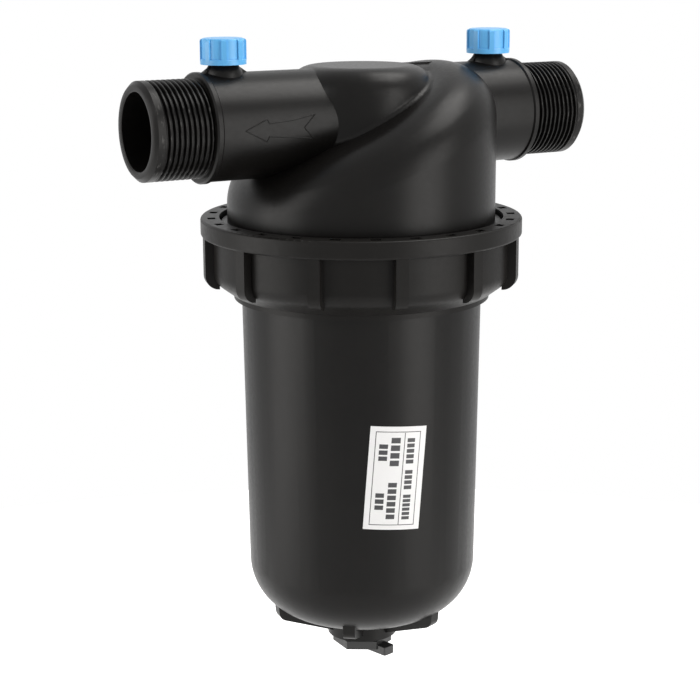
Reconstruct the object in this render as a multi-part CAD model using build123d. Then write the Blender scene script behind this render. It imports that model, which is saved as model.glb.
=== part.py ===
from build123d import *
from math import cos, radians, sin, tan
import os

# In-line disc filter with 1-1/4 inch male threads, bowl hanging below the head
# Millimetres, +Z up, X along the pipes (inlet at +X, outlet at -X)
# The origin lies on the bowl axis at the underside of the drain plug

os.makedirs("parts", exist_ok=True)

# Clearances
loose_gap = 0.3
running_gap = 0.07
seal_gap = 0.1
sleeve_gap = 0.05

# Pipe ends, threads to ISO 228
pipe_reach = 106.0
pipe_thread_r = 20.955
pipe_thread_length = 26.8
pipe_end_chamfer = 1.75
pipe_bore_r = 16.5
pipe_r = 22.7
bead_width = 3.2
bead_height = 0.7
drain_thread_r = 10.48
stub_thread_r = 6.58

# Bowl
bowl_top_r = 53.6
bowl_taper = 1.94
bowl_height = 158.9
bowl_wall = 3.5
dome_round = 26.2
flange_width = 7.4
flange_thickness = 3.6
boss_r = 16.0
boss_height = 11.9
foot_count = 6
foot_angle = -127.0
foot_thickness = 5.5
foot_inset = 8.66
foot_draft = 1.4
foot_inner_rise = 2.0
foot_round = 4.5

# Housing seal in the bowl's flange
housing_seal_offset = 3.4
housing_seal_section = 1.75
groove_side_gap = 0.35

# Skirt of the head that carries the clamp ring's thread
skirt_step = 1.7
skirt_height = 23.7
skirt_chamfer = 0.8

# Head housing
housing_inset = 3.3
housing_wall = 4.8
roof_low_rise = 17.6
roof_slope = 28.3
rim_round = 19.5
rim_rise = 0.42
port_bore_r = 27.5
port_wall = 4.0
port_rise = 27.7
tower_wall = 5.0
tower_rise = 0.8
tower_round = 12.0
web_thickness = 2.0
web_reach = 8.0
crease_round = 2.5

# Test points on the pipes
stub_setback = 13.5
stub_foot_rise = 3.6
stub_foot_width = 1.22
stub_undercut = 0.58
stub_relief = 0.8
stub_bore_r = 2.0
gusset_thickness = 1.6
gusset_reach = 10.5
cap_height = 10.8
cap_wall = 2.35
cap_roof = 2.2
cap_panel_depth = 0.7
cap_band = 2.3
cap_seal_thickness = 1.0
cap_rib_count = 8
cap_rib_width = 2.2
cap_round = 1.0

# Clamp ring
ring_wall = 8.3
ring_cover = 2.0
ring_band = 8.0
ring_panel_step = 4.3
ring_floor = 3.7
ring_cone_height = 6.6
ring_cone_width = 4.4
ring_lip_height = 2.5
ring_lip_width = 2.8
ring_lip_gap = 0.6
ring_edge_round = 1.2
ring_under_round = 8.0
rib_count = 12
rib_angle = 15.0
rib_width = 5.4
rib_inset = 0.5
rib_rise = 3.4
rib_round = 6.0
pocket_count = 25
pocket_angle = -27.3
pocket_inset = 3.0
pocket_length = 3.5
pocket_width = 4.5
pocket_depth = 6.0

# Drain plug and its washer
plug_hex_r = 13.7
plug_hex_height = 4.0
plug_bar_length = 35.8
plug_bar_width = 6.3
plug_bar_height = 4.0
plug_bar_drop = 2.0
plug_bar_angle = -74.0
plug_shank_rise = 1.6
plug_wall = 3.48
drain_seal_width = 1.9
drain_seal_thickness = 1.3

# Label on the bowl
label_width = 25.9
label_height = 46.4
label_thickness = 0.35
label_angle = -102.8
label_rise = 77.7
label_tilt = 4.4
label_gap = 0.05

# Disc cartridge
disc_pitch = 3.0
disc_spacing = 0.13
disc_width = 10.0
disc_flow_gap = 10.16
cartridge_room = 58.0
spine_gap = 0.6
spine_wall = 5.4
spine_plate_width = 2.0
spine_plate_thickness = 4.0
spine_rib_count = 12
spine_rib_width = 3.6
spine_window_count = 4
spine_ring_height = 4.0
spine_floor = 3.5
neck_wall = 5.2
neck_drop = 3.3
neck_seal_section = 1.5
neck_seal_drop = 9.0
stud_r = 6.0
stud_end = 10.0
end_plate_thickness = 5.0
end_seal_section = 1.25
washer_width = 5.7
washer_thickness = 1.5
nut_wall = 4.0
nut_height = 9.0
nut_wing_length = 38.0
nut_wing_width = 5.0
nut_wing_height = 8.0

# Swirl ring above the discs
vane_count = 14
vane_pitch_angle = 32.0
vane_thickness = 1.6
vane_height = 12.0
vane_hub_wall = 2.0
vane_rim_wall = 1.9
vane_rim_height = 4.0
vane_lip_gap = 2.8
vane_lip_thickness = 1.5

# Heights, stacked up from the drain plug's underside
plug_hex_top_z = plug_bar_drop + plug_hex_height
boss_base_z = plug_hex_top_z + drain_seal_thickness + 2 * seal_gap
dome_base_z = boss_base_z + boss_height
dome_centre_z = dome_base_z + dome_round
plug_shank_top_z = dome_base_z + plug_shank_rise
foot_inner_z = boss_base_z + foot_inner_rise
label_centre_z = dome_base_z + label_rise
skirt_base_z = dome_base_z + bowl_height
skirt_top_z = skirt_base_z + skirt_height
flange_top_z = skirt_base_z - loose_gap
flange_base_z = flange_top_z - flange_thickness
ring_top_z = skirt_top_z + ring_cover
ring_lip_top_z = flange_base_z - loose_gap
ring_cone_base_z = ring_lip_top_z - ring_floor
ring_panel_base_z = ring_cone_base_z + ring_cone_height
ring_base_z = ring_cone_base_z - ring_lip_height
rib_base_z = ring_cone_base_z + rib_rise
port_base_z = skirt_base_z + port_rise

# Radii of the bowl, the ring and the head, from the bowl outwards
bowl_low_r = bowl_top_r - bowl_taper
flange_r = bowl_top_r + flange_width
housing_seal_r = bowl_top_r + housing_seal_offset
ring_seat_r = flange_r + loose_gap
skirt_r = flange_r + skirt_step
housing_r = skirt_r - housing_inset
chamber_r = housing_r - housing_wall
ring_bore_r = skirt_r + loose_gap
ring_r = ring_bore_r + ring_wall
ring_panel_r = ring_r - ring_panel_step
ring_lip_bore_r = bowl_top_r + ring_lip_gap
ring_lip_r = ring_lip_bore_r + ring_lip_width
ring_cone_r = bowl_top_r + ring_cone_width
rib_r = ring_r - rib_inset
pocket_outer_r = ring_r - pocket_inset
pocket_inner_r = pocket_outer_r - pocket_length
foot_reach = bowl_low_r - foot_inset
foot_heel_r = foot_reach - foot_draft

# Slanted roof, highest at its rounded rim over the inlet
roof_rise = tan(radians(roof_slope))
roof_drop = housing_wall / cos(radians(roof_slope))
roof_centre_z = skirt_top_z + roof_low_rise + roof_rise * housing_r
rim_centre_z = roof_centre_z + roof_rise * (housing_r - rim_round) - rim_round / cos(radians(roof_slope))
tower_top_z = rim_centre_z + rim_round - rim_rise

# Pipes under the rim, test points and drain
pipe_axis_z = tower_top_z - tower_rise - pipe_r
stub_foot_z = pipe_axis_z + pipe_r + stub_foot_rise
cap_top_z = stub_foot_z + cap_height
stub_top_z = cap_top_z - cap_roof - cap_seal_thickness - 2 * seal_gap
port_r = port_bore_r + port_wall
tower_r = port_bore_r + tower_wall
shoulder_x = pipe_reach - pipe_thread_length
bead_r = pipe_r + bead_height
stub_x = shoulder_x - stub_setback
stub_neck_r = stub_thread_r - stub_undercut
stub_foot_r = stub_thread_r + stub_foot_width
cap_bore_r = stub_thread_r + running_gap
cap_r = cap_bore_r + cap_wall + cap_panel_depth
drain_bore_r = drain_thread_r + running_gap
plug_core_r = drain_thread_r - plug_wall

# Cartridge, hung from the port tube's lower rim
disc_r = bowl_low_r - bowl_wall - disc_flow_gap
disc_bore_r = disc_r - disc_width
spine_plate_r = disc_r + spine_plate_width
spine_plate_top_z = port_base_z - loose_gap
spine_plate_base_z = spine_plate_top_z - spine_plate_thickness
cartridge_base_z = dome_base_z + bowl_wall + cartridge_room
disc_count = int((spine_plate_base_z - disc_spacing - cartridge_base_z) / disc_pitch)
disc_base_z = spine_plate_base_z - disc_spacing - disc_count * disc_pitch
spine_r = disc_bore_r - spine_gap
spine_bore_r = spine_r - spine_wall
spine_base_z = disc_base_z + loose_gap
neck_r = port_bore_r - loose_gap
neck_bore_r = neck_r - neck_wall
plate_bore_r = min(spine_bore_r, neck_bore_r)
neck_top_z = pipe_axis_z - pipe_bore_r - neck_drop
neck_seal_z = neck_top_z - neck_seal_drop
end_plate_top_z = disc_base_z
end_plate_base_z = end_plate_top_z - end_plate_thickness
end_bore_r = stud_r + loose_gap
washer_top_z = end_plate_base_z - seal_gap
washer_r = end_bore_r + washer_width
nut_top_z = washer_top_z - washer_thickness - seal_gap
nut_base_z = nut_top_z - nut_height
nut_r = stud_r + nut_wall
stud_base_z = nut_base_z - stud_end

BASE = (Align.CENTER, Align.CENTER, Align.MIN)


def upright(radius, low, high):
    """Cylinder about Z between two heights."""
    return Pos(0, 0, low) * Cylinder(radius, high - low, align=BASE)


def sleeve(outer, inner, low, high):
    """Upright ring with a round bore."""
    return upright(outer, low, high) - upright(inner, low - 1, high + 1)


def along_x(radius, start, end):
    """Cylinder about the pipes' axis, from start to end along X."""
    rod = Rot(0, 90, 0) * Cylinder(radius, end - start, align=BASE)
    return Pos(start, 0, pipe_axis_z) * rod


def turned(*points):
    """Solid of revolution from a closed radius and height outline."""
    outline = Plane.XZ * make_face(Polyline(*points, close=True))
    return revolve(outline, Axis.Z)


def around(piece, count, first):
    """Copies of a piece made at +X, spread evenly about Z."""
    return [Rot(0, 0, first + 360 * i / count) * piece for i in range(count)]


def bowl_radius(height):
    """Outer radius of the tapered bowl at a height."""
    share = (height - dome_centre_z) / (flange_base_z - dome_centre_z)
    return bowl_low_r + share * (bowl_top_r - bowl_low_r)


# Filter head

def slanted_block(radius, lowering, corner):
    """Upright cylinder cut by the slanted roof, its rim rounded."""
    body = upright(radius, skirt_base_z, roof_centre_z + 2 * radius)
    above = Box(6 * radius, 6 * radius, 4 * radius, align=BASE)
    roof = Pos(0, 0, roof_centre_z - lowering) * Rot(0, -roof_slope, 0) * above
    body = body - roof
    rim = body.edges().filter_by(GeomType.ELLIPSE)
    return fillet(rim, corner)


def rounded_tower(radius, low, high, corner):
    """Upright cylinder with a rounded top edge."""
    body = upright(radius, low, high)
    return fillet(body.edges().group_by(Axis.Z)[-1], corner)


def pipe_end(side):
    """Threaded spigot, shoulder bead and pipe body on one side."""
    bead_start = shoulder_x - bead_width
    body = along_x(pipe_r, 0, bead_start + 1)
    bead = along_x(bead_r, bead_start, shoulder_x)
    bead = chamfer(bead.edges().filter_by(GeomType.CIRCLE), bead_height)
    spigot = along_x(pipe_thread_r, shoulder_x - 1, pipe_reach)
    face_edge = spigot.edges().group_by(Axis.X)[-1]
    spigot = chamfer(face_edge, pipe_end_chamfer)
    whole = body + bead + spigot
    return whole if side > 0 else Rot(0, 0, 180) * whole


def test_stub(side):
    """Flared neck with a plain thread cylinder and two gussets."""
    low = pipe_axis_z + pipe_r - 4
    collar = pipe_axis_z + pipe_r + 0.8
    neck = turned(
        (0, low),
        (stub_foot_r + 1.2, low),
        (stub_foot_r, collar),
        (stub_neck_r, stub_foot_z),
        (stub_neck_r, stub_foot_z + stub_relief),
        (stub_thread_r, stub_foot_z + stub_relief + 0.5),
        (stub_thread_r, stub_top_z - 0.6),
        (stub_thread_r - 0.6, stub_top_z),
        (0, stub_top_z),
    )
    outline = Polyline((-gusset_reach, low), (-gusset_reach, collar - 0.8),
                       (-stub_neck_r, stub_foot_z - 0.6), (stub_neck_r, stub_foot_z - 0.6),
                       (gusset_reach, collar - 0.8), (gusset_reach, low), close=True)
    gusset = extrude(Plane.XZ * make_face(outline), gusset_thickness / 2, both=True)
    return Pos(side * stub_x, 0, 0) * (neck + gusset)


def head_outside():
    """Outer form of the head before it is hollowed."""
    body = slanted_block(housing_r, 0, rim_round)
    skirt = upright(skirt_r, skirt_base_z, skirt_top_z)
    skirt = chamfer(skirt.edges().group_by(Axis.Z)[-1], skirt_chamfer)
    tower = rounded_tower(tower_r, port_base_z + 10, tower_top_z, tower_round)
    length = tower_r + web_reach
    web = Pos(length / 2, 0, roof_centre_z) * Box(
        length, web_thickness, tower_top_z - roof_centre_z, align=BASE)
    body = body + tower
    crease = [e for e in body.edges() if on_tower_crease(e)]
    body = fillet(crease, crease_round)
    body = body + skirt + web + pipe_end(1) + pipe_end(-1)
    return body + test_stub(1) + test_stub(-1)


def on_tower_crease(edge):
    """True for the seam between the tower's wall and the slanted roof."""
    spots = [edge.position_at(t) for t in (0.2, 0.5, 0.8)]
    on_wall = all(abs((p.X ** 2 + p.Y ** 2) ** 0.5 - tower_r) < 0.05 for p in spots)
    on_roof = all(abs(p.Z - roof_centre_z - roof_rise * p.X) < 0.05 for p in spots)
    return on_wall and on_roof


def inlet_chamber():
    """Space round the discs, under the roof and outside the port tube."""
    space = slanted_block(chamber_r, roof_drop, rim_round - housing_wall)
    space = space - upright(port_r, port_base_z, tower_top_z + 20)
    space = space - along_x(pipe_r, -housing_r - 5, 0)
    return space + along_x(pipe_bore_r, port_r + 4, pipe_reach + 1)


def outlet_passage():
    """Port tube, elbow under the tower's roof and outlet bore."""
    high = tower_top_z - tower_wall
    well = rounded_tower(port_bore_r, port_base_z - 1, high, tower_round - tower_wall)
    return well + along_x(pipe_bore_r, -pipe_reach - 1, 0)


def make_head():
    body = head_outside() - inlet_chamber() - outlet_passage()
    for side in (-1, 1):
        drill = Pos(side * stub_x, 0, 0) * upright(stub_bore_r, pipe_axis_z, stub_top_z + 1)
        body = body - drill
    return body


# Bowl with its flange, feet and drain boss

def bowl_half(offset, top):
    """Half outline of the bowl, moved inwards by an offset."""
    low = bowl_low_r - offset
    floor = dome_base_z + offset
    corner = dome_round - offset
    side = bowl_radius(top) - offset
    wall = Polyline((0, floor), (0, top), (side, top), (low, dome_centre_z))
    turn = RadiusArc((low, dome_centre_z), (low - corner, floor), corner)
    base = Line((low - corner, floor), (0, floor))
    return revolve(Plane.XZ * make_face(wall + turn + base), Axis.Z)


def foot_fin():
    """One radial fin under the dome, with a rounded heel."""
    high = dome_centre_z - 8
    plate = Polyline((boss_r - 3, foot_inner_z), (foot_heel_r, dome_base_z),
                     (foot_reach, high), (boss_r - 3, high), close=True)
    fin = extrude(Plane.XZ * make_face(plate), foot_thickness / 2, both=True)
    heel = fin.edges().filter_by(Axis.Y).sort_by(lambda e: e.center().Z - e.center().X)[0]
    return fillet(heel, foot_round)


def make_bowl():
    body = bowl_half(0, flange_top_z)
    body = body + upright(flange_r, flange_base_z, flange_top_z)
    body = body + upright(boss_r, boss_base_z, dome_base_z + 3)
    for fin in around(foot_fin(), foot_count, foot_angle):
        body = body + fin
    body = body - bowl_half(bowl_wall, flange_top_z + 1)
    depth = 2 * housing_seal_section + seal_gap - loose_gap
    half = housing_seal_section + groove_side_gap
    groove = sleeve(housing_seal_r + half, housing_seal_r - half,
                    flange_top_z - depth, flange_top_z + 2)
    body = body - groove
    return body - upright(drain_bore_r, boss_base_z - 1, dome_base_z + bowl_wall + 2)


def make_housing_seal():
    height = skirt_base_z - seal_gap - housing_seal_section
    return Pos(0, 0, height) * Torus(housing_seal_r, housing_seal_section)


# Clamp ring

def ring_shell():
    """Turned body of the ring, with its thread bore and bowl lip."""
    return turned(
        (ring_bore_r, ring_top_z),
        (ring_r, ring_top_z),
        (ring_r, ring_top_z - ring_band),
        (ring_panel_r, ring_top_z - ring_band),
        (ring_panel_r, ring_panel_base_z),
        (ring_cone_r, ring_cone_base_z),
        (ring_lip_r, ring_cone_base_z),
        (ring_lip_r, ring_base_z),
        (ring_lip_bore_r, ring_base_z),
        (ring_lip_bore_r, ring_lip_top_z),
        (ring_seat_r, ring_lip_top_z),
        (ring_seat_r, flange_top_z),
        (ring_bore_r, flange_top_z),
    )


def grip_rib():
    """One upright grip rib with a rounded foot."""
    high = ring_top_z - ring_band + 1
    plate = Polyline((ring_bore_r + 1.5, rib_base_z), (rib_r, rib_base_z),
                     (rib_r, high), (ring_bore_r + 1.5, high), close=True)
    rib = extrude(Plane.XZ * make_face(plate), rib_width / 2, both=True)
    foot = rib.edges().filter_by(Axis.Y).sort_by(lambda e: e.center().Z - e.center().X)[0]
    return fillet(foot, rib_round)


def rim_edges(body, radius, height):
    """Circular edges of a body at one radius and height."""
    edges = body.edges().filter_by(GeomType.CIRCLE)
    edges = [e for e in edges if abs(e.radius - radius) < 0.01]
    return [e for e in edges if abs(e.center().Z - height) < 0.01]


def make_clamp_ring():
    body = ring_shell()
    body = fillet(rim_edges(body, ring_panel_r, ring_panel_base_z), ring_under_round)
    for height in (ring_top_z - ring_band, ring_top_z):
        body = fillet(rim_edges(body, ring_r, height), ring_edge_round)
    for rib in around(grip_rib(), rib_count, rib_angle):
        body = body + rib
    middle = (pocket_inner_r + pocket_outer_r) / 2
    pocket = Pos(middle, 0, ring_top_z - pocket_depth) * Box(
        pocket_outer_r - pocket_inner_r, pocket_width, pocket_depth + 1, align=BASE)
    for hole in around(pocket, pocket_count, pocket_angle):
        body = body - hole
    return body


# Drain plug and washer

def make_drain_plug():
    hexagon = RegularPolygon(plug_hex_r, 6)
    flange = Pos(0, 0, plug_bar_drop) * extrude(hexagon, plug_hex_height)
    bar = Box(plug_bar_length, plug_bar_width, plug_bar_height, align=BASE)
    bar = fillet(bar.edges().filter_by(Axis.Z), 1.0)
    grip = Rot(0, 0, 30) * flange + Rot(0, 0, plug_bar_angle) * bar
    shank = upright(drain_thread_r, plug_hex_top_z - 0.5, plug_shank_top_z)
    shank = chamfer(shank.edges().group_by(Axis.Z)[-1], 0.8)
    core = upright(plug_core_r, plug_hex_top_z + 2, plug_shank_top_z + 1)
    return grip + shank - core


def make_drain_seal():
    inner = drain_bore_r + 0.15
    return sleeve(inner + drain_seal_width, inner, plug_hex_top_z + seal_gap,
                  boss_base_z - seal_gap)


# Test point caps and washers

def make_test_cap(side):
    """Ribbed cap over one test stub."""
    core = upright(cap_r - cap_panel_depth, stub_foot_z, cap_top_z)
    core = fillet(core.edges().group_by(Axis.Z)[-1], cap_round)
    band = upright(cap_r, stub_foot_z, stub_foot_z + cap_band)
    band = chamfer(band.edges().group_by(Axis.Z)[-1], 0.3)
    inner = cap_r - cap_panel_depth - 1.5
    rib = Pos((inner + cap_r) / 2, 0, stub_foot_z + cap_band / 2) * Box(
        cap_r - inner, cap_rib_width, cap_height - cap_band / 2 - 0.3, align=BASE)
    crest = rib.edges().filter_by(Axis.Y).sort_by(lambda e: e.center().Z + e.center().X)[-1]
    rib = fillet(crest, cap_round)
    body = core + band
    for fin in around(rib, cap_rib_count, 360 / cap_rib_count / 2):
        body = body + fin
    bore = upright(cap_bore_r, stub_foot_z - 1, cap_top_z - cap_roof)
    return Pos(side * stub_x, 0, 0) * (body - bore)


def make_cap_seal(side):
    high = cap_top_z - cap_roof - seal_gap
    low = stub_top_z + seal_gap
    washer = sleeve(stub_thread_r - 0.3, stub_bore_r + 0.4, low, high)
    return Pos(side * stub_x, 0, 0) * washer


# Label

def make_label():
    """Curved sheet that follows the bowl's taper."""
    low = label_centre_z - label_height
    high = label_centre_z + label_height
    shell = turned(
        (bowl_radius(low) + label_gap, low),
        (bowl_radius(high) + label_gap, high),
        (bowl_radius(high) + label_gap + label_thickness, high),
        (bowl_radius(low) + label_gap + label_thickness, low),
    )
    # Flat width that wraps to the wanted arc
    chord = 2 * bowl_top_r * sin(label_width / 2 / bowl_top_r)
    block = Pos(bowl_top_r, 0, label_centre_z) * Rot(-label_tilt, 0, 0) * Box(
        bowl_top_r, chord, label_height)
    return shell & (Rot(0, 0, label_angle) * block)


# Disc cartridge

def make_spine():
    """Outlet neck, top plate, windowed core and threaded stud."""
    neck = upright(neck_r, spine_plate_base_z, neck_top_z)
    neck = chamfer(neck.edges().group_by(Axis.Z)[-1], 1.0)
    plate = upright(spine_plate_r, spine_plate_base_z, spine_plate_top_z)
    core = upright(spine_r, spine_base_z, spine_plate_base_z + 1)
    stud = upright(stud_r, stud_base_z, spine_base_z + 1)
    stud = chamfer(stud.edges().group_by(Axis.Z)[0], 0.8)
    body = neck + plate + core + stud
    body = body - upright(spine_bore_r, spine_base_z + spine_floor, spine_plate_base_z)
    body = body - upright(plate_bore_r, spine_plate_base_z - 1, spine_plate_top_z + 1)
    body = body - upright(neck_bore_r, spine_plate_top_z, neck_top_z + 1)
    half = neck_seal_section + groove_side_gap
    groove = sleeve(neck_r + 2, port_bore_r - 2 * (sleeve_gap + neck_seal_section),
                    neck_seal_z - half, neck_seal_z + half)
    body = body - groove
    for window in spine_windows():
        body = body - window
    return body


def spine_windows():
    """Slots of the core between its ribs and rings."""
    low = spine_base_z + spine_floor + spine_ring_height
    high = spine_plate_base_z - spine_ring_height
    step = (high - low + spine_ring_height) / spine_window_count
    chord = 2 * spine_r * sin(radians(180 / spine_rib_count)) - spine_rib_width
    slots = []
    for level in range(spine_window_count):
        slot = Pos(spine_r - spine_wall / 2, 0, low + level * step) * Box(
            3 * spine_wall, chord, step - spine_ring_height, align=BASE)
        slots += around(slot, spine_rib_count, 0)
    return slots


def make_neck_seal():
    major = port_bore_r - sleeve_gap - neck_seal_section
    return Pos(0, 0, neck_seal_z) * Torus(major, neck_seal_section)


def make_discs():
    """Stack of grooved discs, one separate solid each."""
    disc = sleeve(disc_r, disc_bore_r, 0, disc_pitch - disc_spacing)
    stack = [Pos(0, 0, disc_base_z + i * disc_pitch + disc_spacing) * disc
             for i in range(disc_count)]
    return Compound(children=stack)


def make_end_plate():
    body = upright(spine_plate_r, end_plate_base_z, end_plate_top_z)
    body = chamfer(body.edges().group_by(Axis.Z)[0], 1.5)
    body = body - upright(end_bore_r, end_plate_base_z - 1, end_plate_top_z + 1)
    seat = upright(end_bore_r + 2 * end_seal_section + 0.2, end_plate_base_z - 1,
                   end_plate_base_z + 2 * end_seal_section + 0.3)
    return body - seat


def make_end_seal():
    height = end_plate_base_z + end_seal_section + seal_gap
    return Pos(0, 0, height) * Torus(end_bore_r + 0.05 + end_seal_section, end_seal_section)


def make_washer():
    return sleeve(washer_r, end_bore_r, washer_top_z - washer_thickness, washer_top_z)


def make_nut():
    """Wing nut that closes the cartridge."""
    body = upright(nut_r, nut_base_z, nut_top_z)
    wings = Pos(0, 0, nut_base_z) * Box(
        nut_wing_length, nut_wing_width, nut_wing_height, align=BASE)
    wings = fillet(wings.edges().filter_by(Axis.Z), 1.5)
    return body + wings - upright(stud_r + sleeve_gap, nut_base_z - 1, nut_top_z + 1)


def make_vane_ring():
    """Lip on the spine's plate, hub, inclined vanes and outer rim."""
    hub_bore = spine_plate_r + loose_gap
    hub_r = hub_bore + vane_hub_wall
    rim_r = chamber_r - loose_gap
    lip_low = spine_plate_top_z + seal_gap
    high = lip_low + vane_lip_thickness
    low = high - vane_height
    hub = sleeve(hub_r, hub_bore, low, high)
    lip = sleeve(hub_r, port_r + vane_lip_gap, lip_low, high)
    rim_low = (low + high - vane_rim_height) / 2
    rim = sleeve(rim_r, rim_r - vane_rim_wall, rim_low, rim_low + vane_rim_height)
    middle = (hub_r + rim_r) / 2
    blade = Pos(middle, 0, (low + high) / 2) * Rot(90 - vane_pitch_angle, 0, 0) * Box(
        rim_r - hub_r + 6, vane_thickness, 2 * vane_height)
    space = sleeve(rim_r - 0.5, hub_r - 0.5, low, high)
    body = hub + lip + rim
    for vane in around(blade & space, vane_count, 0):
        body = body + vane
    return body


NODES = {
    "filter_head": make_head,
    "filter_bowl": make_bowl,
    "clamp_ring": make_clamp_ring,
    "housing_seal": make_housing_seal,
    "drain_plug": make_drain_plug,
    "drain_seal": make_drain_seal,
    "inlet_test_cap": lambda: make_test_cap(1),
    "outlet_test_cap": lambda: make_test_cap(-1),
    "inlet_cap_seal": lambda: make_cap_seal(1),
    "outlet_cap_seal": lambda: make_cap_seal(-1),
    "rating_label": make_label,
    "cartridge_spine": make_spine,
    "neck_seal": make_neck_seal,
    "swirl_ring": make_vane_ring,
    "filter_discs": make_discs,
    "end_plate": make_end_plate,
    "end_plate_seal": make_end_seal,
    "thrust_washer": make_washer,
    "cartridge_nut": make_nut,
}

for name, maker in NODES.items():
    export_step(maker(), f"parts/{name}.step")
    print(name)
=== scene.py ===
# %% [markdown]
# # A disc filter for drip irrigation
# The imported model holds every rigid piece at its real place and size, in metres.
# This lesson gives those pieces their finish, cuts real threads on the pipe ends,
# prints the label and marks the flow arrow, and then lights and frames the object.

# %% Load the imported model
import math

import bmesh
import bpy
import numpy as np
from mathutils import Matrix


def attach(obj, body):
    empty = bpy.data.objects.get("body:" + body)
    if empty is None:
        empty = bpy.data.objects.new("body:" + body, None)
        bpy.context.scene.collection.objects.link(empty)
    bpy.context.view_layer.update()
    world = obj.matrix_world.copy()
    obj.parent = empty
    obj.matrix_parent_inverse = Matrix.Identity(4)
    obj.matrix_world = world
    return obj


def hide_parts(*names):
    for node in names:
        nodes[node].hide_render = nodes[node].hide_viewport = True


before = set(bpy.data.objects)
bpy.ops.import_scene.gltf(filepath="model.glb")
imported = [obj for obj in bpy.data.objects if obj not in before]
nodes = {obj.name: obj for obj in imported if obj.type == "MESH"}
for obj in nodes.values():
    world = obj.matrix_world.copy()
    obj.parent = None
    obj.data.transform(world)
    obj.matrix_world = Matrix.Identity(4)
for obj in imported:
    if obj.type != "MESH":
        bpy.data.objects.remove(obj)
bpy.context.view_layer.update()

MM = 0.001
print("pieces in the model:", len(nodes))

# %% [markdown]
# ## Sizes that the new surfaces share with the model
# A thread or a label has to meet the solid that carries it, so the few radii and
# heights that it needs are measured on the model or repeated here in millimetres.

# %% Shared sizes
PIPE_Z = 246.5
PIPE_R = 22.7
THREAD_R = 20.955
THREAD_PITCH = 2.309
THREAD_DEPTH = 1.479
SHOULDER_X = 79.2
PIPE_END_X = 106.0
BORE_R = 16.5
BOWL_LOW_R, BOWL_LOW_Z = 51.66, 45.6
BOWL_TOP_R, BOWL_TOP_Z = 53.6, 174.4
print("pipe centre height", PIPE_Z, "thread pitch", THREAD_PITCH)


def bowl_radius(height):
    """Radius of the tapered bowl: a straight line between its lower and upper radius."""
    share = (height - BOWL_LOW_Z) / (BOWL_TOP_Z - BOWL_LOW_Z)
    return BOWL_LOW_R + share * (BOWL_TOP_R - BOWL_LOW_R)


# %% [markdown]
# ## Surfaces as grids
# Most new surfaces are a function of two parameters. The points come as one array of
# rows and columns, in millimetres, and neighbouring rows and columns are joined by
# four-sided faces. A direction that closes on itself joins its last line to its first.

# %% Grid surface to mesh
CRISP = math.radians(40)


def grid_object(name, points, close_rows=False, close_columns=False, flip=False):
    """Object from a rows x columns x 3 array. Face (i, j) joins points (i, j),
    (i+1, j), (i+1, j+1) and (i, j+1), with the indices wrapped where a side closes."""
    rows, columns = points.shape[:2]
    i = np.arange(rows if close_rows else rows - 1)[:, None]
    j = np.arange(columns if close_columns else columns - 1)[None, :]
    i2, j2 = (i + 1) % rows, (j + 1) % columns
    quads = np.stack([i * columns + j, i2 * columns + j,
                      i2 * columns + j2, i * columns + j2], axis=-1).reshape(-1, 4)
    if flip:
        quads = quads[:, ::-1]
    mesh = bpy.data.meshes.new(name)
    mesh.from_pydata((points.reshape(-1, 3) * MM).tolist(), [], quads.tolist())
    mesh.validate()
    mesh.shade_smooth()
    piece = bpy.data.objects.new(name, mesh)
    bpy.context.scene.collection.objects.link(piece)
    print(name, len(mesh.polygons), "faces")
    return piece


# %% [markdown]
# ## Smooth copies of the solid pieces
# A solid arrives as loose triangles, so light breaks at every one of them. A copy with
# its points merged can share normals across the smooth parts, and an angle decides which
# edges stay crisp. A narrow bevel then gives those edges the small radius of a moulding,
# which is what catches the light on the real part.

# %% Merged copy of a solid piece
FLAT_ANGLE = 0.4
SLIVER = 0.003


def merged_mesh(name, source):
    """Mesh with equal points joined: points are rounded to a tenth of a micrometre,
    repeated ones get one number, and triangles that lose a side are dropped."""
    data = nodes[source].data
    points = np.empty(len(data.vertices) * 3)
    data.vertices.foreach_get("co", points)
    corners = np.empty(len(data.loops), dtype=np.int64)
    data.loops.foreach_get("vertex_index", corners)
    unique, number = np.unique(np.round(points.reshape(-1, 3), 7), axis=0, return_inverse=True)
    tris = number.reshape(-1)[corners].reshape(-1, 3)
    whole = (tris[:, 0] != tris[:, 1]) & (tris[:, 1] != tris[:, 2]) & (tris[:, 0] != tris[:, 2])
    mesh = bpy.data.meshes.new(name)
    mesh.from_pydata(unique.tolist(), [], tris[whole].tolist())
    mesh.validate()
    return mesh


def finish_copy(piece, crisp_angle, bevel):
    """Smooth shading with crisp edges above an angle, a small bevel on those edges and
    normals weighted by face area, so that flat faces stay flat beside the bevel. Faces
    that turn by less than FLAT_ANGLE degrees become one, and points that the bevel
    leaves closer than SLIVER millimetres are joined."""
    mesh = piece.data
    flat = bmesh.new()
    flat.from_mesh(mesh)
    bmesh.ops.dissolve_limit(flat, angle_limit=math.radians(FLAT_ANGLE),
                             verts=flat.verts, edges=flat.edges)
    flat.to_mesh(mesh)
    flat.free()
    mesh.shade_smooth()
    mesh.set_sharp_from_angle(angle=math.radians(crisp_angle))
    if bevel:
        edge = piece.modifiers.new("moulded edge", "BEVEL")
        edge.width = bevel * MM
        edge.segments = 2
        edge.limit_method = "ANGLE"
        edge.angle_limit = math.radians(crisp_angle)
        edge.harden_normals = True
        edge.use_clamp_overlap = True
        join = piece.modifiers.new("no slivers", "WELD")
        join.merge_threshold = SLIVER * MM
    even = piece.modifiers.new("even light", "WEIGHTED_NORMAL")
    even.keep_sharp = True


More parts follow.
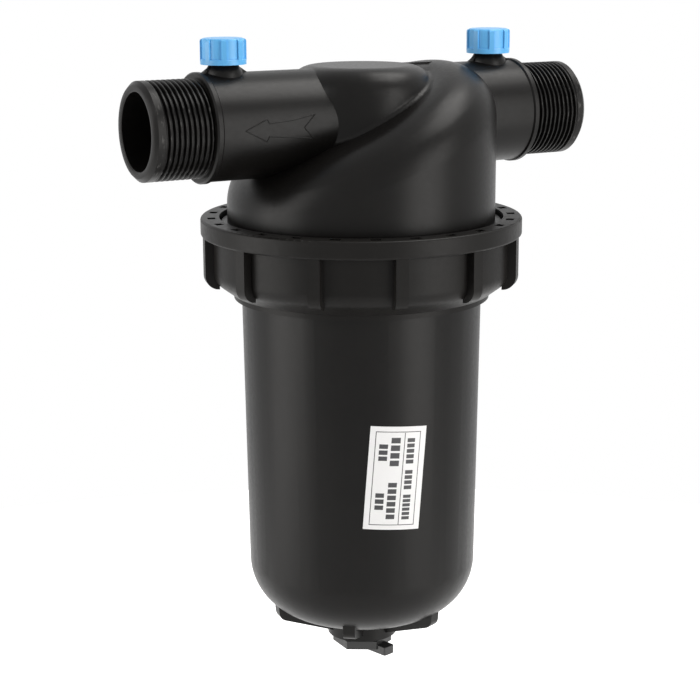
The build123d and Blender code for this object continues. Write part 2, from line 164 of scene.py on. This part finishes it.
def smooth_copy(source, body, crisp_angle=32, bevel=0.25):
    """Copy of a solid piece that stands for it and rides on its body."""
    piece = bpy.data.objects.new(source + "_smooth", merged_mesh(source + "_smooth", source))
    bpy.context.scene.collection.objects.link(piece)
    finish_copy(piece, crisp_angle, bevel)
    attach(piece, body)
    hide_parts(source)
    print(piece.name, len(piece.data.polygons), "faces")
    return piece


# %% [markdown]
# ## The head without its plain pipe ends
# The solid head ends in plain cylinders at the thread's outer radius. The visible copy is
# cut just outside both shoulders, and each cut is closed again with a flat ring between
# the bore and the spigot, so that a threaded sleeve can take over from there.

# %% Head cut at the shoulders
CUT_GAP = 0.04


def cut_head():
    """Head without what lies more than CUT_GAP beyond each shoulder. The two rims that
    a cut leaves, of spigot and bore, are joined by a flat ring of faces."""
    mesh = merged_mesh("head_shell", "filter_head")
    shell = bmesh.new()
    shell.from_mesh(mesh)
    for side in (-1, 1):
        plane = (side * (SHOULDER_X + CUT_GAP) * MM, 0, 0)
        bmesh.ops.bisect_plane(shell, geom=shell.verts[:] + shell.edges[:] + shell.faces[:],
                               plane_co=plane, plane_no=(side, 0, 0), clear_outer=True)
        rim = [e for e in shell.edges if e.is_boundary and e.verts[0].co.x * side > 0]
        bmesh.ops.bridge_loops(shell, edges=rim)
    shell.to_mesh(mesh)
    shell.free()
    piece = bpy.data.objects.new("head_shell", mesh)
    bpy.context.scene.collection.objects.link(piece)
    finish_copy(piece, 38, 0.3)
    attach(piece, "head")
    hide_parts("filter_head")
    print(piece.name, len(mesh.polygons), "faces")
    return piece


head = cut_head()

# %% [markdown]
# ## Threaded sleeves
# A pipe thread is a ridge that climbs one pitch per turn. Swept ridges are hard to close,
# so the thread is a height instead: the radius depends on how far a point lies from the
# nearest crest, measured along the axis after taking off the climb at its angle. The
# first turns fade out into a plain land with a cone, which lets a fitting start straight.

# %% Thread profile and sleeve
CREST_TO, ROOT_FROM = 0.10, 0.34
LAND_FROM, LAND_FULL = 100.2, 101.6
RUN_IN = 0.5
OUTSIDE_END = 104.2
ROWS_PER_TURN = 14
END_CONE = [(104.25, THREAD_R), (105.1, 20.1), (105.95, 19.25)]
END_FACE = [(PIPE_END_X, 19.15), (PIPE_END_X, 17.1), (105.96, 16.95)]
BORE_WALL = [(105.5, BORE_R), (92, BORE_R), (SHOULDER_X, BORE_R)]
OUTLET_ROOT_X, INLET_ROOT_X = -80.35, 82.05


def ramp(x, low, high):
    """0 below low, 1 above high, with a soft S between them."""
    t = np.clip((x - low) / (high - low), 0, 1)
    return t * t * (3 - 2 * t)


def thread_radius(x, angle, crest_x):
    """Outer radius at a place. The phase is 0 on a crest and 0.5 in a root, and the
    ridge falls from crest to root between the phases CREST_TO and ROOT_FROM."""
    phase = (x - crest_x - THREAD_PITCH * angle / (2 * np.pi)) / THREAD_PITCH
    away = np.abs(phase - np.round(phase))
    groove = ramp(away, CREST_TO, ROOT_FROM)
    land = 1 - ramp(np.abs(x), LAND_FROM, LAND_FULL)
    start = ramp(np.abs(x), SHOULDER_X, SHOULDER_X + RUN_IN)
    return THREAD_R - THREAD_DEPTH * groove * land * start


def thread_sleeve(name, side, crest_x, columns=144):
    """Closed ring: along the thread from shoulder to end, over the end cone and face,
    and back through the bore. Rows follow that outline and columns go round X."""
    outside = np.arange(SHOULDER_X, OUTSIDE_END, THREAD_PITCH / ROWS_PER_TURN)
    closing = np.array(END_CONE + END_FACE + BORE_WALL)
    outline_x = np.concatenate([outside, closing[:, 0]])
    fixed_r = np.concatenate([outside * 0, closing[:, 1]])
    angle = np.linspace(0, 2 * np.pi, columns, endpoint=False)
    x = side * outline_x[:, None] + 0 * angle
    radius = fixed_r[:, None] + 0 * angle
    on_thread = fixed_r == 0
    radius[on_thread] = thread_radius(x, angle[None, :], crest_x)[on_thread]
    points = np.stack([x, radius * np.cos(angle), PIPE_Z + radius * np.sin(angle)], axis=-1)
    piece = grid_object(name, points, close_rows=True, close_columns=True, flip=side > 0)
    piece.data.set_sharp_from_angle(angle=CRISP)
    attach(piece, "head")
    return piece


outlet_thread = thread_sleeve("outlet_thread_sleeve", -1, OUTLET_ROOT_X - THREAD_PITCH / 2)
inlet_thread = thread_sleeve("inlet_thread_sleeve", 1, INLET_ROOT_X - THREAD_PITCH / 2)

# %% [markdown]
# ## Flow arrow
# The arrow is a fine raised line on the outlet pipe. Its corners are given along the pipe
# and as angles round it, so the line lies on the curved wall at every point. A small round
# section follows it, half sunk in the wall, as a mould maker would cut it with a ball tool.

# %% Arrow line on the pipe
ARROW = np.array([
    (-66.5, 1.0), (-56.4, 12.0), (-55.6, 7.4), (-44.5, 9.6), (-34.0, 14.5),
    (-39.4, 1.2), (-35.2, -11.2), (-45.0, -8.6), (-55.6, -6.2), (-56.6, -11.6)])
LINE_R, LINE_SUNK, LINE_STEP, LINE_SIDES = 0.28, 0.06, 0.6, 8


def line_on_pipe(corners, spacing):
    """Points along a closed outline, evenly spaced in the unrolled plane of the pipe,
    where one degree of angle is a length of the radius times pi / 180."""
    unrolled = corners * np.array([1, np.radians(1) * PIPE_R])
    ends = np.roll(unrolled, -1, axis=0)
    steps = np.maximum(2, (np.linalg.norm(ends - unrolled, axis=1) / spacing).astype(int))
    share = np.concatenate([np.arange(n) / n for n in steps])
    which = np.repeat(np.arange(len(corners)), steps)
    return unrolled[which] + share[:, None] * (ends - unrolled)[which]


def raised_line(name, corners, radius, sunk):
    """Closed tube round the outline, its centre sunk below the wall: each ring lies in
    the plane of the wall's normal and the direction across the line."""
    flat = line_on_pipe(corners, LINE_STEP)
    angle = flat[:, 1] / PIPE_R
    normal = np.stack([0 * angle, -np.cos(angle), np.sin(angle)], axis=-1)
    axis = np.stack([flat[:, 0], 0 * angle, PIPE_Z + 0 * angle], axis=-1)
    centre = axis + normal * (PIPE_R - sunk)
    along = np.roll(centre, -1, axis=0) - np.roll(centre, 1, axis=0)
    along /= np.linalg.norm(along, axis=1)[:, None]
    across = np.cross(normal, along)
    turn = np.linspace(0, 2 * np.pi, LINE_SIDES, endpoint=False)[None, :, None]
    ring = normal[:, None] * np.cos(turn) + across[:, None] * np.sin(turn)
    piece = grid_object(name, centre[:, None] + radius * ring,
                        close_rows=True, close_columns=True)
    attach(piece, "head")
    return piece


arrow = raised_line("flow_arrow", ARROW, LINE_R, LINE_SUNK)

# %% [markdown]
# ## Label
# The label is a thin film that bends round the bowl and sits a few degrees out of true, as
# hand-applied labels do. Its surface is the bowl's own, offset outwards. Every point also
# stores its place on the flat label, so the print can be drawn in those coordinates.

# %% Curved label
LABEL_WIDTH, LABEL_HEIGHT = 25.9, 46.4
LABEL_ANGLE, LABEL_Z, LABEL_TILT = -102.8, 97.1, 4.4
FACE_LIFT, BACK_LIFT = 0.32, 0.06
COLUMNS, ROWS = 33, 41


def label_point(s, t, lift):
    """Point of the label at s mm across and t mm up: turned by the tilt, then wrapped
    round the axis at the bowl's radius plus the lift."""
    tilt = math.radians(LABEL_TILT)
    across = s * math.cos(tilt) + t * math.sin(tilt)
    up = t * math.cos(tilt) - s * math.sin(tilt)
    height = LABEL_Z + up
    radius = bowl_radius(height) + lift
    angle = math.radians(LABEL_ANGLE) + across / BOWL_TOP_R
    return np.stack([radius * np.cos(angle), radius * np.sin(angle), height], axis=-1)


def close_ends(mesh):
    """Faces close the two open ends of a flattened tube, and all turn outwards."""
    film = bmesh.new()
    film.from_mesh(mesh)
    bmesh.ops.remove_doubles(film, verts=film.verts, dist=1e-7)
    bmesh.ops.holes_fill(film, edges=[e for e in film.edges if e.is_boundary], sides=0)
    bmesh.ops.recalc_face_normals(film, faces=film.faces)
    film.to_mesh(mesh)
    film.free()


def make_label():
    """Closed film: rows run over the face, round the edge and back over the underside."""
    profile_s = np.concatenate([np.linspace(-0.5, 0.5, COLUMNS),
                                np.linspace(0.5, -0.5, COLUMNS)]) * LABEL_WIDTH
    lift = np.repeat([FACE_LIFT, BACK_LIFT], COLUMNS)
    t = np.linspace(-0.5, 0.5, ROWS) * LABEL_HEIGHT
    s = profile_s[None, :] + 0 * t[:, None]
    points = label_point(s, t[:, None] + 0 * s, lift[None, :] + 0 * s)
    piece = grid_object("label_film", points, close_columns=True, flip=True)
    mesh = piece.data
    uv = mesh.uv_layers.new(name="label")
    corner = np.empty(len(mesh.loops), dtype=np.int64)
    mesh.loops.foreach_get("vertex_index", corner)
    flat = np.stack([s / LABEL_WIDTH + 0.5,
                     t[:, None] / LABEL_HEIGHT + 0.5 + 0 * s], axis=-1)
    uv.data.foreach_set("uv", flat.reshape(-1, 2)[corner].ravel())
    close_ends(mesh)
    mesh.set_sharp_from_angle(angle=CRISP)
    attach(piece, "bowl")
    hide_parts("rating_label")
    return piece


label = make_label()

# %% [markdown]
# ## Smooth copies of the other visible pieces
# The bowl, ring, plug and caps keep their solid shapes and only need shared normals and
# soft edges. The pieces inside come into view when the bowl is lowered.

# %% Copies of the outer and inner pieces
bowl = smooth_copy("filter_bowl", "bowl", 30, 0.3)
ring = smooth_copy("clamp_ring", "ring", 30, 0.35)
plug = smooth_copy("drain_plug", "drain_stopper", 30, 0.25)
caps = [smooth_copy("inlet_test_cap", "inlet_cap", 30, 0.15),
        smooth_copy("outlet_test_cap", "outlet_cap", 30, 0.15)]
spine = smooth_copy("cartridge_spine", "head", 30, 0.2)
swirl = smooth_copy("swirl_ring", "head", 30, 0.2)
end_plate = smooth_copy("end_plate", "end_stop", 30, 0.2)
wing_nut = smooth_copy("cartridge_nut", "wing_nut", 30, 0.25)

# %% [markdown]
# ## Materials
# The housing is black plastic straight from a polished mould: dark, satin, with faint
# uneven gloss. Each finish starts from the same recipe: a colour that drifts slightly, a
# roughness that drifts with it, and a very low bump at the scale of the grain.

# %% Node helpers
NOISE_RANGE = (0.3, 0.7)


def material(name):
    """Material with a Principled shader, then its nodes, its links and that shader."""
    mat = bpy.data.materials.new(name)
    mat.use_nodes = True
    tree = mat.node_tree
    return mat, tree.nodes, tree.links, tree.nodes["Principled BSDF"]


def math_node(n, links, kind, a, b=0):
    """One step of arithmetic on two inputs, each a number or another node's output."""
    step = n.new("ShaderNodeMath")
    step.operation = kind
    for socket, value in zip(step.inputs, (a, b)):
        if isinstance(value, (int, float)):
            socket.default_value = value
        else:
            links.new(value, socket)
    return step.outputs["Value"]


def remap(n, links, value, source, target=(0, 1), shape="LINEAR"):
    """Value moved from the source range to the target range and held inside it."""
    span = n.new("ShaderNodeMapRange")
    span.interpolation_type = shape
    span.inputs["From Min"].default_value, span.inputs["From Max"].default_value = source
    span.inputs["To Min"].default_value, span.inputs["To Max"].default_value = target
    links.new(value, span.inputs["Value"])
    return span.outputs["Result"]


def spread(n, links, value, low, high):
    """Noise, which stays mostly within NOISE_RANGE, moved to low to high."""
    return remap(n, links, value, NOISE_RANGE, (low, high))


def noise(n, links, scale, detail=4.0, stretch=(1, 1, 1)):
    """Noise on object coordinates. Scale counts features per metre, and stretch makes
    them narrower along an axis."""
    place = n.new("ShaderNodeTexCoord").outputs["Object"]
    if stretch != (1, 1, 1):
        along = n.new("ShaderNodeMapping")
        along.inputs["Scale"].default_value = stretch
        links.new(place, along.inputs["Vector"])
        place = along.outputs["Vector"]
    field = n.new("ShaderNodeTexNoise")
    field.inputs["Scale"].default_value = scale
    field.inputs["Detail"].default_value = detail
    links.new(place, field.inputs["Vector"])
    return field.outputs["Fac"]


def distance(n, links, count, centre=(0, 0, 0)):
    """Distance in metres from an axis through centre: the square root of the summed
    squares of the coordinates for which count is 1. The axis is the one with a 0."""
    place = n.new("ShaderNodeTexCoord")
    centred = n.new("ShaderNodeVectorMath")
    centred.operation = "SUBTRACT"
    centred.inputs[1].default_value = centre
    flat = n.new("ShaderNodeVectorMath")
    flat.operation = "MULTIPLY"
    flat.inputs[1].default_value = count
    reach = n.new("ShaderNodeVectorMath")
    reach.operation = "LENGTH"
    links.new(place.outputs["Object"], centred.inputs[0])
    links.new(centred.outputs["Vector"], flat.inputs[0])
    links.new(flat.outputs["Vector"], reach.inputs[0])
    return reach.outputs["Value"]


def two_tone(n, links, value, dark, light):
    """Colour between dark and light, following a value. Either may be an output."""
    mix = n.new("ShaderNodeMix")
    mix.data_type = "RGBA"
    for socket, colour in ((mix.inputs["A"], dark), (mix.inputs["B"], light)):
        if isinstance(colour, tuple):
            socket.default_value = (*colour, 1)
        else:
            links.new(colour, socket)
    links.new(value, mix.inputs["Factor"])
    return mix.outputs["Result"]


def bump(n, links, height, depth, below=None):
    """Bump of a depth in metres, on top of an optional lower bump."""
    relief = n.new("ShaderNodeBump")
    relief.inputs["Strength"].default_value = 1.0
    relief.inputs["Distance"].default_value = depth
    links.new(height, relief.inputs["Height"])
    if below:
        links.new(below, relief.inputs["Normal"])
    return relief.outputs["Normal"]


print("noise is read between", NOISE_RANGE)

# %% [markdown]
# ## Moulded plastics
# The housing is moulded polypropylene: nearly black, with a soft sheen that drifts from
# place to place, fine grain and a slight waviness from shrinkage. One flat colour would look
# like paint, and a photo texture would carry marks of one object. Noise at three sizes gives
# the same look on every moulded piece, and only its numbers differ from piece to piece.

# %% Moulded plastics
DRIFT, FINE, WAVE = 35, 600, 28
WAVE_DEPTH = 0.00012


def moulded(name, dark, light, roughness, grain, depth, gloss=0.5):
    """Plastic from a mould: drifting colour and gloss over centimetres, grain under a
    millimetre and a slight waviness from shrinkage."""
    mat, n, links, shader = material(name)
    drift = spread(n, links, noise(n, links, DRIFT, 3), 0, 1)
    links.new(two_tone(n, links, drift, dark, light), shader.inputs["Base Color"])
    gleam = spread(n, links, noise(n, links, FINE), *roughness)
    links.new(gleam, shader.inputs["Roughness"])
    wave = bump(n, links, noise(n, links, WAVE, 1), WAVE_DEPTH)
    links.new(bump(n, links, noise(n, links, grain, 3), depth, wave), shader.inputs["Normal"])
    shader.inputs["Specular IOR Level"].default_value = gloss
    return mat


housing_black = moulded("satin_black_housing", (0.0034, 0.0031, 0.0029),
                        (0.0052, 0.0047, 0.0043), (0.32, 0.39), 1400, 0.000004, 0.15)
ring_black = moulded("grained_black_ring", (0.0055, 0.0051, 0.0047),
                     (0.0090, 0.0083, 0.0077), (0.36, 0.44), 2000, 0.00002, 0.12)
plug_black = moulded("black_plug", (0.008, 0.008, 0.008), (0.013, 0.013, 0.013),
                     (0.38, 0.5), 2200, 0.00001)
core_black = moulded("black_core", (0.010, 0.010, 0.010), (0.016, 0.016, 0.016),
                     (0.4, 0.5), 1800, 0.000008)
cap_blue = moulded("blue_caps", (0.10, 0.40, 0.76), (0.13, 0.45, 0.83),
                   (0.3, 0.4), 1500, 0.000005, 0.4)
seal_rubber = moulded("seal_rubber", (0.012, 0.012, 0.012), (0.02, 0.02, 0.02),
                      (0.55, 0.7), 3000, 0.00001)
print("moulded finishes ready")

# %% [markdown]
# ## Worn thread crests
# Handling scuffs a plastic thread at its crests first: they go slightly grey and rough in
# short strokes that run round the pipe. The distance from the pipe's axis finds the crests,
# and a noise that is stretched round the axis breaks the wear into strokes.

# %% Thread finish
CREST_DEPTH = 0.35
WEAR_RANGE = (0.60, 0.76)
WORN_COLOUR, WORN_ROUGHNESS = (0.10, 0.098, 0.095), 0.6


def worn_crests():
    """Housing plastic with grey strokes. Wear is 1 where a point lies at the crests,
    within CREST_DEPTH of the thread's radius, and the stretched noise is high there."""
    mat = housing_black.copy()
    mat.name = "worn_thread"
    n, links = mat.node_tree.nodes, mat.node_tree.links
    colour, rough = (n["Principled BSDF"].inputs[name] for name in ("Base Color", "Roughness"))
    plain_colour, plain_rough = colour.links[0].from_socket, rough.links[0].from_socket
    from_axis = distance(n, links, (0, 1, 1), (0, 0, PIPE_Z * MM))
    crest = remap(n, links, from_axis, ((THREAD_R - CREST_DEPTH) * MM, THREAD_R * MM))
    strokes = remap(n, links, noise(n, links, 260, 5, (4, 1, 1)), WEAR_RANGE)
    wear = math_node(n, links, "MULTIPLY", crest, strokes)
    links.new(two_tone(n, links, wear, plain_colour, WORN_COLOUR), colour)
    mixed = n.new("ShaderNodeMix")
    mixed.inputs["B"].default_value = WORN_ROUGHNESS
    links.new(wear, mixed.inputs["Factor"])
    links.new(plain_rough, mixed.inputs["A"])
    links.new(mixed.outputs["Result"], rough)
    return mat


thread_black = worn_crests()
print("crest wear starts", round(THREAD_R - CREST_DEPTH, 2), "mm from the pipe's axis")

# %% [markdown]
# ## Disc stack
# A disc cartridge is a stack of thin red rings pressed face to face. From the side their
# rims read as fine lines, so a wave along the axis lowers the surface between the discs
# and darkens the red there, as painted shade in the gaps.

# %% Grooved discs
DISC_LINE = 0.0015


def disc_plastic():
    """Red plastic with lines across Z, one every DISC_LINE metres. A band wave repeats
    after 2 pi / 20 divided by its scale."""
    mat, n, links, shader = material("red_discs")
    place = n.new("ShaderNodeTexCoord")
    lines = n.new("ShaderNodeTexWave")
    lines.wave_type = "BANDS"
    lines.bands_direction = "Z"
    lines.wave_profile = "SAW"
    lines.inputs["Scale"].default_value = 2 * math.pi / (20 * DISC_LINE)
    links.new(place.outputs["Object"], lines.inputs["Vector"])
    # Painted shade: the red is darker where the wave is low, in the gaps between the discs.
    colour = two_tone(n, links, lines.outputs["Fac"], (0.26, 0.012, 0.008), (0.42, 0.03, 0.018))
    links.new(colour, shader.inputs["Base Color"])
    links.new(spread(n, links, noise(n, links, 500), 0.35, 0.5), shader.inputs["Roughness"])
    links.new(bump(n, links, lines.outputs["Fac"], 0.0001), shader.inputs["Normal"])
    return mat


disc_red = disc_plastic()
print("one rim line every", DISC_LINE / MM, "mm")

# %% [markdown]
# ## Label print
# Print is drawn in the label's own coordinates, in millimetres from its centre. A box test
# gives 1 inside a rectangle and 0 outside. The frame is one box less a smaller one, and
# lines of print are rows of dark blocks.

# %% Printed film
OUTER_FRAME, INNER_FRAME = (-0.1, -0.1, 20.8, 42.2), (-0.1, -0.1, 20.1, 41.5)
DIVIDER = (2.8, -0.28, 0.35, 41.4)
PRINT_LINES = [(-6.6, 15.3, 3, 2.7, 3.9), (-6.6, -6.7, 3, 2.75, 3.9),
               (-1.2, 18.3, 4, 3.4, 4.2), (-1.2, -1.9, 6, 2.87, 4.0),
               (5.9, 18.0, 5, 2.4, 3.6), (5.9, 3.7, 4, 2.3, 3.6), (5.9, -7.4, 6, 1.95, 3.6)]
BLOCK_SHARE = 0.74
PAPER, INK = (0.80, 0.80, 0.805), (0.03, 0.03, 0.033)


def label_film():
    """White film whose ink is 1 on the frame, on the divider and on the rows of blocks."""
    mat, n, links, shader = material("printed_film")
    uv = n.new("ShaderNodeUVMap")
    uv.uv_map = "label"
    split = n.new("ShaderNodeSeparateXYZ")
    links.new(uv.outputs["UV"], split.inputs["Vector"])

    def calc(kind, a, b=0):
        return math_node(n, links, kind, a, b)

    across = calc("MULTIPLY", calc("SUBTRACT", split.outputs["X"], 0.5), LABEL_WIDTH)
    up = calc("MULTIPLY", calc("SUBTRACT", split.outputs["Y"], 0.5), LABEL_HEIGHT)

    def near(value, centre, size):
        """1 within half a size of a centre, else 0."""
        return calc("LESS_THAN", calc("ABSOLUTE", calc("SUBTRACT", value, centre)), size / 2)

    def inside(centre_s, centre_t, width, height):
        """1 inside a rectangle, else 0."""
        return calc("MULTIPLY", near(across, centre_s, width), near(up, centre_t, height))

    def blocks(centre_s, top_t, count, pitch, width):
        """A line of print: count blocks one pitch apart, each BLOCK_SHARE of it long."""
        steps = calc("DIVIDE", calc("SUBTRACT", top_t, up), pitch)
        filled = calc("LESS_THAN", calc("FRACT", steps), BLOCK_SHARE)
        length = count * pitch
        return calc("MULTIPLY", filled, inside(centre_s, top_t - length / 2, width, length))

    ink = calc("SUBTRACT", inside(*OUTER_FRAME), inside(*INNER_FRAME))
    for mark in [inside(*DIVIDER)] + [blocks(*line) for line in PRINT_LINES]:
        ink = calc("MAXIMUM", ink, mark)
    links.new(two_tone(n, links, ink, PAPER, INK), shader.inputs["Base Color"])
    links.new(spread(n, links, noise(n, links, 900), 0.42, 0.55), shader.inputs["Roughness"])
    links.new(bump(n, links, noise(n, links, 300, 2), 0.00002), shader.inputs["Normal"])
    return mat


print_white = label_film()
print("lines of print:", len(PRINT_LINES))

# %% [markdown]
# ## Give every piece its material
# A finish is assigned in one place, so that it is plain which pieces came out of the same
# mould or the same batch of plastic. Hidden pieces, such as seals, get theirs too, because
# they show as soon as the filter is opened.

# %% Give every piece its material
def paint(piece, mat):
    """One material on the whole piece."""
    piece.data.materials.clear()
    piece.data.materials.append(mat)


for piece in (head, arrow, bowl):
    paint(piece, housing_black)
for piece in (outlet_thread, inlet_thread):
    paint(piece, thread_black)
paint(ring, ring_black)
for piece in (plug, wing_nut):
    paint(piece, plug_black)
for piece in caps:
    paint(piece, cap_blue)
for piece in (spine, swirl, end_plate):
    paint(piece, core_black)
paint(label, print_white)
paint(nodes["filter_discs"], disc_red)
paint(nodes["thrust_washer"], core_black)
for name in ("housing_seal", "drain_seal", "inlet_cap_seal", "outlet_cap_seal",
             "neck_seal", "end_plate_seal"):
    paint(nodes[name], seal_rubber)
print("materials given")

# %% [markdown]
# ## World and floor
# A product like this is shown on white. The world is white only to the camera and to
# reflections, so it doesn't flood the object. A filter hangs from its pipes, so the floor
# lies well below it, and leaves room for the bowl to come down. The floor glows a little
# less near the middle, where the object's soft shadow falls.

# %% World and floor
WORLD_LEVEL = 0.28
FLOOR_GLOW = 0.80
GLOW_RANGE = (0.12, 0.60)
FLOOR_Z = -210
FLOOR_RINGS = [0, 60, 120, 200, 300, 450, 650, 900.0]
FLOOR_SIDES = 96
FLOOR_COLOUR = (0.80, 0.80, 0.80, 1)
WHITE = (1, 1, 1, 1)


def seen_directly(n, links):
    """1 for rays from the camera, in a reflection or through glass, else 0."""
    path = n.new("ShaderNodeLightPath")
    total = path.outputs["Is Camera Ray"]
    for name in ("Is Glossy Ray", "Is Transmission Ray"):
        total = math_node(n, links, "MAXIMUM", total, path.outputs[name])
    return total


def white_world():
    """World that is white where it is seen, and WORLD_LEVEL bright as a light."""
    world = bpy.data.worlds.new("studio")
    bpy.context.scene.world = world
    world.use_nodes = True
    n, links = world.node_tree.nodes, world.node_tree.links
    plain = n["Background"]
    plain.inputs["Color"].default_value = WHITE
    level = remap(n, links, seen_directly(n, links), (0, 1), (WORLD_LEVEL, 1))
    links.new(level, plain.inputs["Strength"])


def pale_floor():
    """Disc of floor whose glow rises to full white at its rim, so that no edge shows."""
    radius = np.array(FLOOR_RINGS)[:, None]
    angle = np.linspace(0, 2 * np.pi, FLOOR_SIDES, endpoint=False)[None, :]
    height = 0 * radius * angle + FLOOR_Z
    points = np.stack([radius * np.cos(angle), radius * np.sin(angle), height], axis=-1)
    floor = grid_object("floor", points, close_columns=True, flip=False)
    mat, n, links, shader = material("pale_floor")
    away = distance(n, links, (1, 1, 0))
    glow = remap(n, links, away, GLOW_RANGE, (FLOOR_GLOW, 1), "SMOOTHSTEP")
    lift = math_node(n, links, "MULTIPLY", glow, seen_directly(n, links))
    shader.inputs["Base Color"].default_value = FLOOR_COLOUR
    shader.inputs["Roughness"].default_value = 0.9
    shader.inputs["Specular IOR Level"].default_value = 0.1
    shader.inputs["Emission Color"].default_value = WHITE
    links.new(lift, shader.inputs["Emission Strength"])
    paint(floor, mat)


white_world()
pale_floor()
print("floor at", FLOOR_Z, "mm")

# %% [markdown]
# ## Lamps
# Dark plastic shows little colour of its own: what reads as its shape is the reflection of
# the lamps. Two tall soft boxes stand close at the sides and reach low, because an upright
# wall seen from slightly above mirrors what lies below its own height. They draw the two
# long highlights down the bowl, and a third box from above lights the head and the pipes.

# %% Lamps
LAMP_TINT = (1.0, 0.98, 0.95)
LAMPS = [  # name, place, point that it faces, width, height, watts
    ("left_box", (-0.80, 0.17, 0.28), (0, 0, 0.28), 0.58, 0.95, 6.3),
    ("right_box", (0.36, -0.78, 0.28), (0, 0, 0.28), 0.48, 0.95, 6.5),
    ("top_box", (0.45, -0.10, 1.20), (0, 0, 0.15), 0.8, 0.5, 9)]


def placed(holder, x, y, z, place):
    """Puts an object at a place with its own axes along x, y and z."""
    bpy.context.scene.collection.objects.link(holder)
    matrix = np.eye(4)
    matrix[:3, 0], matrix[:3, 1], matrix[:3, 2], matrix[:3, 3] = x, y, z, place
    holder.matrix_world = matrix.T.tolist()


def soft_box(name, place, target, width, height, power):
    """Area lamp of a size in metres, turned to face a point and unseen by the camera."""
    lamp = bpy.data.lights.new(name, "AREA")
    lamp.shape = "RECTANGLE"
    lamp.size, lamp.size_y = width, height
    lamp.energy = power
    lamp.color = LAMP_TINT
    holder = bpy.data.objects.new(name, lamp)
    holder.visible_camera = False
    z = np.array(place, float) - np.array(target, float)
    z /= np.linalg.norm(z)
    x = np.cross((0, 0, 1), z)
    x /= np.linalg.norm(x)
    placed(holder, x, np.cross(z, x), z, place)
    print(name, power, "W")


for lamp_row in LAMPS:
    soft_box(*lamp_row)

# %% [markdown]
# ## Camera
# The camera stands where the photograph's outlines say it stood. A long lens from about
# 0.8 m keeps the pipes' ends close to round and the bowl's walls close to parallel.

# %% Camera
CAMERA_PLACE = (-0.38249, -0.69369, 0.32977)
YAW, PITCH, ROLL = (math.radians(turn) for turn in (28.496, 13.330, -0.226))
FOCAL_PIXELS, FRAME_PIXELS = 1799.5, 700
SENSOR = 36


def camera():
    """Camera with its place and angles found by fitting the photograph's outlines: turned
    28.5 degrees from straight ahead towards the inlet and looking 13.3 degrees down."""
    level = math.cos(PITCH)
    forward = np.array([math.sin(YAW) * level, math.cos(YAW) * level, -math.sin(PITCH)])
    right = np.array([math.cos(YAW), -math.sin(YAW), 0])
    up = np.cross(right, forward)
    data = bpy.data.cameras.new("view")
    data.sensor_width = SENSOR
    data.lens = SENSOR * FOCAL_PIXELS / FRAME_PIXELS
    data.clip_start, data.clip_end = 0.05, 30
    eye = bpy.data.objects.new("view", data)
    placed(eye, right * math.cos(ROLL) + up * math.sin(ROLL),
           up * math.cos(ROLL) - right * math.sin(ROLL), -forward, CAMERA_PLACE)
    bpy.context.scene.camera = eye
    print("lens", round(data.lens, 2), "mm")


camera()
bpy.context.scene.view_settings.view_transform = "Standard"

# %% [markdown]
# ## Update the scene
# The visible pieces must fill the same space as the solids that they stand for; the scene
# is brought up to date so that their places are current.

# %% Update the scene
bpy.context.view_layer.update()
